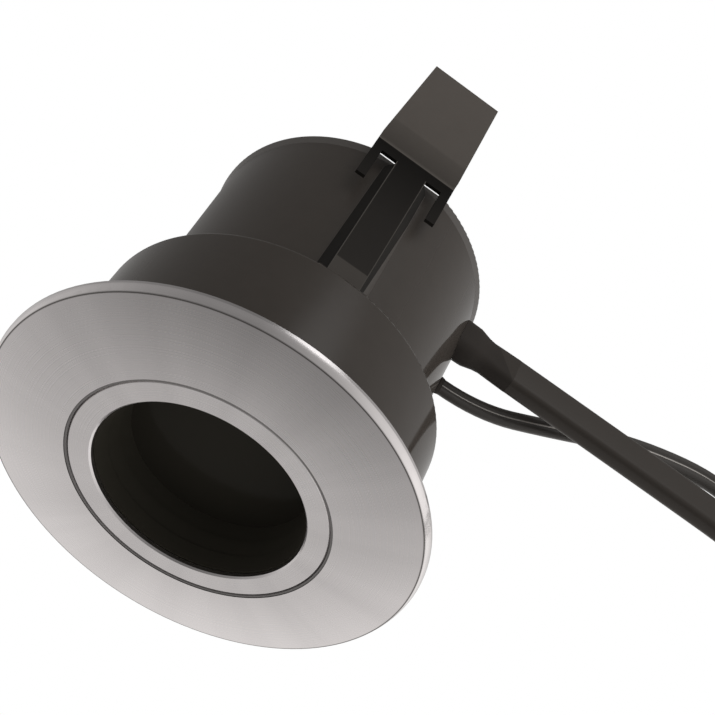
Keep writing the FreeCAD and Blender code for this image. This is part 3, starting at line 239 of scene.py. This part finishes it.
def makeGrooveRing():
    section = [(groove["inner"], groove["front"]), (groove["outer"], groove["front"]),
               (groove["outer"], groove["back"]), (groove["inner"], groove["back"])]
    places = []
    faces = []
    corners = len(section)
    for k in range(groove["steps"]):
        after = (k + 1) % groove["steps"]
        angle = 2 * math.pi * k / groove["steps"]
        for j, (radius, height) in enumerate(section):
            beside = (j + 1) % corners
            places.append((radius * math.cos(angle), radius * math.sin(angle), height))
            faces.append((k * corners + j, after * corners + j,
                          after * corners + beside, k * corners + beside))
    return meshPiece("groove_ring", "ring", places, faces)


can = {"heights": (31.6, 75.2), "radii": (30.2, 31.0)}  # the rear can's tapered wall
boot = {
    "across": supply["plane"], "up": supply["route"][0][1], "clearance": 0.02, "cornerSteps": 6,
    # full height, full width and corner of the shank inside the can and of the lip on its wall
    "shankStart": 26.75, "shank": (9.1, 5.5, 1.6),
    "lip": (10.4, 6.8, 3.0), "lipThickness": 0.6,
    # distance from the light's axis, and the same three sizes
    "waist": [(32.6, 10.3, 6.7, 3.0), (33.8, 9.8, 6.2, 2.9), (35.2, 9.0, 5.6, 2.6),
              (36.8, 8.55, 5.1, 2.3), (39.0, 8.42, 4.85, 1.8), (43.68, 8.4, 4.7, 1.4)],
}


def canRadius(height):
    low, high = can["heights"]
    foot, top = can["radii"]
    return foot + (top - foot) * (height - low) / (high - low)


# an outline round the boot, flat or following the can's wall at a distance
def bootRing(out, height, width, corner, onWall=False):
    places = []
    for across, up in roundedBar(width, height, corner, boot["cornerSteps"]):
        y = boot["across"] + across
        z = boot["up"] + up
        wall = math.sqrt((canRadius(z) + boot["clearance"]) ** 2 - y ** 2)
        places.append((wall + out if onWall else out, y, z))
    return places


# a closed skin through rings of equal length, with flat ends
def lofted(rings):
    places = [place for ring in rings for place in ring]
    count = len(rings[0])
    last = (len(rings) - 1) * count
    faces = []
    for start in range(0, last, count):
        for k in range(count):
            after = (k + 1) % count
            faces.append((start + k, start + after, start + count + after, start + count + k))
    faces.append(tuple(range(count)))
    faces.append(tuple(last + k for k in range(count)))
    return places, faces


def makeBoot():
    rings = [bootRing(boot["shankStart"], *boot["shank"]),
             bootRing(0.0, *boot["shank"], onWall=True),
             bootRing(0.0, *boot["lip"], onWall=True),
             bootRing(boot["lipThickness"], *boot["lip"], onWall=True)]
    rings += [bootRing(*section) for section in boot["waist"]]
    places, faces = lofted(rings)
    return meshPiece("boot_skin", "light", places, faces, ["supply_boot"])


coverCut = {"halfWidth": 0.0082, "flat": 0.03}  # the rim is cut flat behind each clip


def makeCover():
    source = nodes["rear_cover"]
    data = source.data.copy()
    data.transform(source.matrix_world)
    for vertex in data.vertices:
        if abs(vertex.co.x) < coverCut["halfWidth"] and abs(vertex.co.y) > coverCut["flat"]:
            vertex.co.y = math.copysign(coverCut["flat"], vertex.co.y)
    data.update()
    data.materials.clear()
    cover = newObject("cover_skin", data)
    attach(cover, "light")
    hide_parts("rear_cover")
    return cover


grooveRing = makeGrooveRing()
bootSkin = makeBoot()
coverSkin = makeCover()
print("finer pieces made")


# links or sets inputs by name or number; a colour is given without its alpha
def feed(tree, node, given):
    for key, value in given.items():
        socket = node.inputs[key]
        if isinstance(value, bpy.types.NodeSocket):
            tree.links.new(value, socket)
        elif socket.type == "RGBA":
            socket.default_value = (*value, 1)
        else:
            socket.default_value = value


# a node with its settings, such as its operation, and what is given to its inputs
def newNode(tree, kind, given=None, **settings):
    node = tree.nodes.new(kind)
    for name, value in settings.items():
        setattr(node, name, value)
    feed(tree, node, given or {})
    return node


def newMaterial(name):
    material = bpy.data.materials.new(name)
    material.use_nodes = True
    tree = material.node_tree
    return material, tree, tree.nodes["Principled BSDF"]


def calculated(tree, operation, *values):
    given = dict(enumerate(values))
    return newNode(tree, "ShaderNodeMath", given, operation=operation).outputs[0]


def vectorNode(tree, operation, *vectors):
    return newNode(tree, "ShaderNodeVectorMath", dict(enumerate(vectors)), operation=operation)


def scaled(tree, vector, factor):
    given = {0: vector, "Scale": factor}
    return newNode(tree, "ShaderNodeVectorMath", given, operation="SCALE").outputs[0]


# runs from low to high while the value runs from start to end
def ranged(tree, value, start, end, low=0, high=1):
    given = {"Value": value, "From Min": start, "From Max": end, "To Min": low, "To Max": high}
    return newNode(tree, "ShaderNodeMapRange", given).outputs["Result"]


def blended(tree, factor, first, second):
    given = {"Factor": factor, "A": first, "B": second}
    return newNode(tree, "ShaderNodeMix", given, data_type="RGBA").outputs["Result"]


# (value, level) pairs in one tint, over the span of the value
def toned(tree, value, span, levels, tint):
    low, high = span
    ramp = newNode(tree, "ShaderNodeValToRGB", {"Fac": ranged(tree, value, low, high)})
    elements = ramp.color_ramp.elements
    for k, (spot, level) in enumerate(levels):
        share = (spot - low) / (high - low)
        element = elements[k] if k < 2 else elements.new(share)  # a new ramp has two elements
        element.position = share
        element.color = (*(level * part for part in tint), 1)
    return ramp.outputs["Color"]


# noise over a place, or in 1D over one value
def noisy(tree, place, scale, detail, dimensions="3D"):
    given = {"W" if dimensions == "1D" else "Vector": place, "Scale": scale, "Detail": detail}
    node = newNode(tree, "ShaderNodeTexNoise", given, noise_dimensions=dimensions)
    return node.outputs["Fac"]


def bumped(tree, height, strength, distance):
    given = {"Height": height, "Strength": strength, "Distance": distance}
    return newNode(tree, "ShaderNodeBump", given).outputs["Normal"]


def placeOn(tree, kind="Object"):
    return newNode(tree, "ShaderNodeTexCoord").outputs[kind]


def parted(tree, vector):
    return newNode(tree, "ShaderNodeSeparateXYZ", {"Vector": vector}).outputs


# the place on a piece, with its height left out
def flatPlace(tree):
    return vectorNode(tree, "MULTIPLY", placeOn(tree), (1, 1, 0)).outputs[0]


def axisRadius(tree):
    return vectorNode(tree, "LENGTH", flatPlace(tree)).outputs["Value"]


grainStyle = {"scale": 300, "detail": 4, "spread": 0.12, "strength": 1, "depth": 0.0002}


# fine noise that varies a colour and a roughness, and gives a height
def grainGroup():
    group = bpy.data.node_groups.new("grain", "ShaderNodeTree")
    for side, labels in (("INPUT", ("Color", "Scale", "Spread", "Roughness", "Relief")),
                         ("OUTPUT", ("Color", "Roughness", "Height"))):
        for label in labels:
            kind = "NodeSocketColor" if label == "Color" else "NodeSocketFloat"
            group.interface.new_socket(label, in_out=side, socket_type=kind)
    given = newNode(group, "NodeGroupInput").outputs
    noise = noisy(group, placeOn(group), given["Scale"], grainStyle["detail"])
    centred = calculated(group, "SUBTRACT", noise, 0.5)
    swing = calculated(group, "MULTIPLY_ADD", centred, given["Spread"], 1)
    newNode(group, "NodeGroupOutput", {
        "Color": scaled(group, given["Color"], swing),
        "Roughness": calculated(group, "MULTIPLY", given["Roughness"], swing),
        "Height": calculated(group, "MULTIPLY", noise, given["Relief"]),
    })
    return group


grain = grainGroup()
plainLook = {"metallic": 0, "specular": 0.5, "relief": 0.05}
looks = {
    "rubber_seal": {"color": (0.02, 0.02, 0.02), "roughness": 0.7},
    "black_plastic": {"color": (0.046, 0.042, 0.033), "roughness": 0.6, "specular": 0.05},
    "reflector_finish": {"color": (0.8, 0.8, 0.8), "roughness": 0.2, "metallic": 1},
    "board_green": {"color": (0.03, 0.14, 0.06), "roughness": 0.35},
    "phosphor": {"color": (0.85, 0.6, 0.1), "roughness": 0.5},
    "pad_grey": {"color": (0.3, 0.32, 0.35), "roughness": 0.8},
    "zinc_steel": {"color": (0.55, 0.55, 0.55), "roughness": 0.3, "metallic": 1},
    "dark_coat": {"color": (0.072, 0.062, 0.054), "roughness": 0.08, "specular": 0.27,
                  "relief": 0.002},
    "transformer_black": {"color": (0.03, 0.03, 0.03), "roughness": 0.5},
    "capacitor_sleeve": {"color": (0.02, 0.03, 0.1), "roughness": 0.3},
    "terminal_grey": {"color": (0.4, 0.4, 0.38), "roughness": 0.5},
    "black_steel": {"color": (0.02, 0.018, 0.016), "roughness": 0.4},
    "washer_nylon": {"color": (0.02, 0.02, 0.02), "roughness": 0.5},
    "black_rubber": {"color": (0.056, 0.049, 0.044), "roughness": 0.5, "specular": 0.06},
    "cable_jacket": {"color": (0.066, 0.056, 0.048), "roughness": 0.42, "specular": 0.24,
                     "relief": 0.02},
    "plug_black": {"color": (0.02, 0.02, 0.02), "roughness": 0.45},
    "core_insulation": {"color": (0.3, 0.3, 0.3), "roughness": 0.4},
    # finishes of the finer pieces
    "cover_coat": {"color": (0.135, 0.124, 0.115), "roughness": 0.25, "specular": 0.4,
                   "relief": 0.004},
    # painted shade: the groove ring's grey stands in for the shade in the gap
    "groove": {"color": (0.3, 0.285, 0.28), "roughness": 0.5, "specular": 0.2},
}


# colour, roughness and relief come through the grain
def dressed(name, look):
    look = {**plainLook, **look}
    material, tree, shader = newMaterial(name)
    texture = newNode(tree, "ShaderNodeGroup", node_tree=grain)
    feed(tree, texture, {"Color": look["color"], "Roughness": look["roughness"],
                         "Relief": look["relief"], "Scale": grainStyle["scale"],
                         "Spread": grainStyle["spread"]})
    height = texture.outputs["Height"]
    normal = bumped(tree, height, grainStyle["strength"], grainStyle["depth"])
    feed(tree, shader, {"Base Color": texture.outputs["Color"],
                        "Roughness": texture.outputs["Roughness"], "Normal": normal,
                        "Metallic": look["metallic"],
                        "Specular IOR Level": look["specular"]})
    return material, tree, texture


steel = {
    "face": (0.74, 0.71, 0.71), "roughness": (0.27, 0.28),
    # the fine rings left by turning: noise, and the strength and depth of its relief
    "ringScale": 3500, "ringDetail": 3, "ringRelief": (0.003, 0.00003),
    # a painted dark reflection along the edge where the face turns into the rim: radius, and how
    # far off it fades out
    "edgeReflection": 0.0432, "edgeReflectionFade": (0.00005, 0.00022), "edgeReflectionColor": (0.16, 0.15, 0.145),
    # radii between which the polished rim starts
    "rim": (0.0431, 0.0434), "rimRoughness": 0.19,
    # painted shade on the wall of the groove round the inner ring: its radius, and how near
    # counts as on it
    "groove": (0.02664, 0.00004), "grooveWallShade": (0.09, 0.085, 0.08),
    # painted highlight streaks, faint lighter and darker from the middle as on turned steel:
    # noise, and what its range does
    "sheenRayScale": 3.2, "sheenRayDetail": 3, "sheenRayNoise": (0.3, 0.7), "sheenRayGain": (0.94, 1.05),
}


def brushedSteel():
    material, tree, shader = newMaterial("steel_trim_look")
    radius = axisRadius(tree)
    rings = noisy(tree, radius, steel["ringScale"], steel["ringDetail"], "1D")
    # a painted dark reflection on the edge where the face turns into the rim
    away = calculated(tree, "ABSOLUTE", calculated(tree, "SUBTRACT", radius, steel["edgeReflection"]))
    edgeReflection = ranged(tree, away, *steel["edgeReflectionFade"])
    tone = blended(tree, edgeReflection, steel["edgeReflectionColor"], steel["face"])
    # painted highlight streaks from the middle
    heading = vectorNode(tree, "NORMALIZE", flatPlace(tree)).outputs[0]
    sheenRays = noisy(tree, heading, steel["sheenRayScale"], steel["sheenRayDetail"])
    sheenRayed = scaled(tree, tone, ranged(tree, sheenRays, *steel["sheenRayNoise"], *steel["sheenRayGain"]))
    # painted shade on the groove's wall
    wall = calculated(tree, "COMPARE", radius, *steel["groove"])
    face = ranged(tree, rings, 0, 1, *steel["roughness"])
    feed(tree, shader, {
        "Base Color": blended(tree, wall, sheenRayed, steel["grooveWallShade"]),
        "Metallic": 1,
        "Roughness": ranged(tree, radius, *steel["rim"], face, steel["rimRoughness"]),
        "Normal": bumped(tree, rings, *steel["ringRelief"]),
    })
    return material


spring = {
    "look": {"color": (0.07, 0.064, 0.057), "roughness": 0.5, "specular": 0.06, "relief": 0.01},
    # height and lightness, painted light and shade: a lit foot, the strip shaded under the
    # plate, a highlight on the fold, and the plate lit lighter above it
    "levels": ((0.0382, 0.088), (0.0385, 0.036), (0.0550, 0.029), (0.0740, 0.013),
               (0.07635, 0.011), (0.07645, 0.17), (0.07655, 0.17), (0.0767, 0.125),
               (0.0800, 0.165), (0.0803, 0.195), (0.0900, 0.205)),
    "span": (0.03, 0.1), "tint": (1, 0.9, 0.81),
    # painted highlights along the strip's edges: how far across, how near counts, and up to
    # where
    "edge": (0.00352, 0.0001), "edgeHighlightTop": 0.0732, "edgeHighlightColor": (0.1, 0.092, 0.083),
}


def springSteel():
    material, tree, texture = dressed("dark_spring_look", spring["look"])
    place = parted(tree, placeOn(tree))
    # painted light and shade by height along the clip
    tone = toned(tree, place["Z"], spring["span"], spring["levels"], spring["tint"])
    # painted highlights on the strip's edges
    across = calculated(tree, "ABSOLUTE", place["X"])
    edge = calculated(tree, "COMPARE", across, *spring["edge"])
    below = calculated(tree, "LESS_THAN", place["Z"], spring["edgeHighlightTop"])
    edgeHighlight = calculated(tree, "MULTIPLY", edge, below)
    feed(tree, texture, {"Color": blended(tree, edgeHighlight, tone, spring["edgeHighlightColor"])})
    return material


# unlit, the lens is dark and has a faint sheen
lens = {"color": (0.044, 0.04, 0.032), "roughness": 0.1, "specular": 0.03, "alpha": 0.93}


def lensGlass():
    material, tree, shader = newMaterial("lens_look")
    feed(tree, shader, {"Base Color": lens["color"], "Roughness": lens["roughness"],
                        "Specular IOR Level": lens["specular"], "Alpha": lens["alpha"]})
    return material


# the coat is dull by the clips, up to the first x, and glossy beside the cables, from the second
frontSheen = {"turn": (0.016, 0.027), "dull": 0.22}
rearSheen = {"turn": (0.011, 0.02), "dull": 0.33}


def sideSheen(tree, sheen):
    across = parted(tree, placeOn(tree))["X"]
    return ranged(tree, across, *sheen["turn"], sheen["dull"], looks["dark_coat"]["roughness"])


def frontCoat():
    material, tree, texture = dressed("front_coat_look", looks["dark_coat"])
    feed(tree, texture, {"Roughness": sideSheen(tree, frontSheen)})
    return material


ribShade = {
    # the colour is painted shade
    "color": (0.012, 0.010, 0.008), "roughness": 0.75,
    "proud": (0.00008, 0.00016),  # how far off the can's wall the painted shade starts and is full
    # on the cables' side the painted shade ends at a slanting edge: two heights, and its x there
    "edgeHeights": (0.036, 0.073), "edge": (0.0045, 0.0056),
}


# the tapered ribs that stand proud of the rear can are matt, and darker with painted shade
def ribbedCoat():
    coat = looks["dark_coat"]
    material, tree, texture = dressed("ribbed_coat_look", coat)
    place = parted(tree, placeOn(tree))
    heights = [height * millimetre for height in can["heights"]]
    radii = [radius * millimetre for radius in can["radii"]]
    wall = ranged(tree, place["Z"], *heights, *radii)
    proud = ranged(tree, calculated(tree, "SUBTRACT", axisRadius(tree), wall), *ribShade["proud"])
    edge = ranged(tree, place["Z"], *ribShade["edgeHeights"], *ribShade["edge"])
    near = calculated(tree, "LESS_THAN", place["X"], edge)
    dark = calculated(tree, "MULTIPLY", proud, near)
    feed(tree, texture, {
        "Color": blended(tree, dark, coat["color"], ribShade["color"]),
        "Roughness": ranged(tree, dark, 0, 1, sideSheen(tree, rearSheen), ribShade["roughness"]),
    })
    return material


lead = {
    "look": {"color": (0.082, 0.075, 0.069), "roughness": 0.4, "specular": 0.3, "relief": 0.02},
    # a painted highlight lies in each notch between the cores
    "notchHighlight": (0.85, 0.81, 0.77), "notchHighlightFade": (0.06, 0.09),
}


def leadJacket():
    material, tree, texture = dressed("lead_look", lead["look"])
    around = parted(tree, placeOn(tree, "UV"))["Y"]
    # doubled and moved half a step on, so that both notches fall on whole numbers
    shift = 1 / len(figureEight(signal))
    turn = calculated(tree, "MULTIPLY_ADD", around, 2, shift)
    away = calculated(tree, "PINGPONG", turn, 0.5)
    # a painted highlight in each notch
    jacket = ranged(tree, away, *lead["notchHighlightFade"])
    feed(tree, texture, {"Color": blended(tree, jacket, lead["notchHighlight"], lead["look"]["color"])})
    return material


# the dull boot ends on a slant, where the smoother jacket starts
bootEnd = {"slant": (1, 0, 0.86), "turn": (0.0999, 0.1003), "jacket": (0.074, 0.065, 0.058)}


def bootRubber():
    rubber = looks["black_rubber"]
    material, tree, texture = dressed("boot_look", rubber)
    along = vectorNode(tree, "DOT_PRODUCT", placeOn(tree), bootEnd["slant"]).outputs["Value"]
    past = ranged(tree, along, *bootEnd["turn"])
    feed(tree, texture, {"Color": blended(tree, past, rubber["color"], bootEnd["jacket"])})
    return material


finishes = {slot: dressed(f"{slot}_look", look)[0] for slot, look in looks.items()}
finishes["steel_trim"] = brushedSteel()
finishes["dark_spring"] = springSteel()
finishes["clear_lens"] = lensGlass()
for part in frame["record"]["subparts"]:
    target = nodes[part["node"]]
    target.data.materials.clear()
    target.data.materials.append(finishes[part["material_slot"]])
nodes["rear_housing"].data.materials[0] = ribbedCoat()
nodes["front_housing"].data.materials[0] = frontCoat()
supplyCable.data.materials.append(finishes["cable_jacket"])
signalLead.data.materials.append(leadJacket())
bootSkin.data.materials.append(bootRubber())
coverSkin.data.materials.append(finishes["cover_coat"])
grooveRing.data.materials.append(finishes["groove"])
print("materials assigned")

floorLook = {"size": 6, "color": (0.8, 0.8, 0.8), "roughness": 0.6}


# pale, and seen only from above, so that the photo's low camera looks past it
def makeFloor():
    bpy.ops.mesh.primitive_plane_add(size=floorLook["size"], location=(0, 0, 0))
    floor = bpy.context.active_object
    floor.name = "floor"
    material, tree, shader = newMaterial("floor_look")
    feed(tree, shader, {"Base Color": floorLook["color"], "Roughness": floorLook["roughness"]})
    clear = newNode(tree, "ShaderNodeBsdfTransparent").outputs[0]
    behind = newNode(tree, "ShaderNodeNewGeometry").outputs["Backfacing"]
    straight = newNode(tree, "ShaderNodeLightPath").outputs["Is Camera Ray"]
    shown = calculated(tree, "MULTIPLY", calculated(tree, "SUBTRACT", 1, behind), straight)
    mixer = newNode(tree, "ShaderNodeMixShader", {"Fac": shown, 1: clear, 2: shader.outputs[0]})
    feed(tree, tree.nodes["Material Output"], {"Surface": mixer.outputs[0]})
    floor.data.materials.append(material)


studio = {
    # height of the direction looked in, from straight down to straight up, and how bright it is
    "levels": ((-1, 0.15), (-0.8, 0.38), (-0.69, 0.54), (-0.4, 0.86), (0, 1.0), (0.24, 1.0),
               (0.7, 0.48), (1, 0.43)),
    "span": (-1, 1), "tint": (1, 0.985, 0.97),
    # the side that the camera stands on is dimmer
    "ahead": (0.52, 0.854, 0), "aheadSpan": (-0.95, 0.35), "aheadLight": (0.32, 1),
    # and so, a little, is the side away from the cables
    "acrossSpan": (-0.3, 0.5), "acrossLight": (0.85, 1.08),
}


# white to the camera; in light and reflections a studio that is brightest at eye level
def makeWorld():
    world = bpy.data.worlds.new("studio")
    bpy.context.scene.world = world
    world.use_nodes = True
    tree = world.node_tree
    place = placeOn(tree, "Generated")
    parts = parted(tree, place)
    light = toned(tree, parts["Z"], studio["span"], studio["levels"], studio["tint"])
    facing = vectorNode(tree, "DOT_PRODUCT", place, studio["ahead"]).outputs["Value"]
    ahead = ranged(tree, facing, *studio["aheadSpan"], *studio["aheadLight"])
    across = ranged(tree, parts["X"], *studio["acrossSpan"], *studio["acrossLight"])
    dimmed = scaled(tree, light, calculated(tree, "MULTIPLY", ahead, across))
    straight = newNode(tree, "ShaderNodeLightPath").outputs["Is Camera Ray"]
    feed(tree, tree.nodes["Background"], {"Color": blended(tree, straight, dimmed, (1, 1, 1))})


key = {"place": (0.12, -0.78, 0.45), "target": (0, 0, 0.04), "size": 0.6, "energy": 1.15}


def makeLamp(name, look):
    data = bpy.data.lights.new(name, "AREA")
    data.energy = look["energy"]
    data.shape = "DISK"
    data.size = look["size"]
    lamp = newObject(name, data)
    lamp.location = look["place"]
    aim = Vector(look["target"]) - Vector(look["place"])
    lamp.rotation_mode = "QUATERNION"
    lamp.rotation_quaternion = aim.to_track_quat("-Z", "Y")


makeFloor()
makeWorld()
makeLamp("key", key)
bpy.context.scene.view_settings.view_transform = "Standard"
print("stage lit")
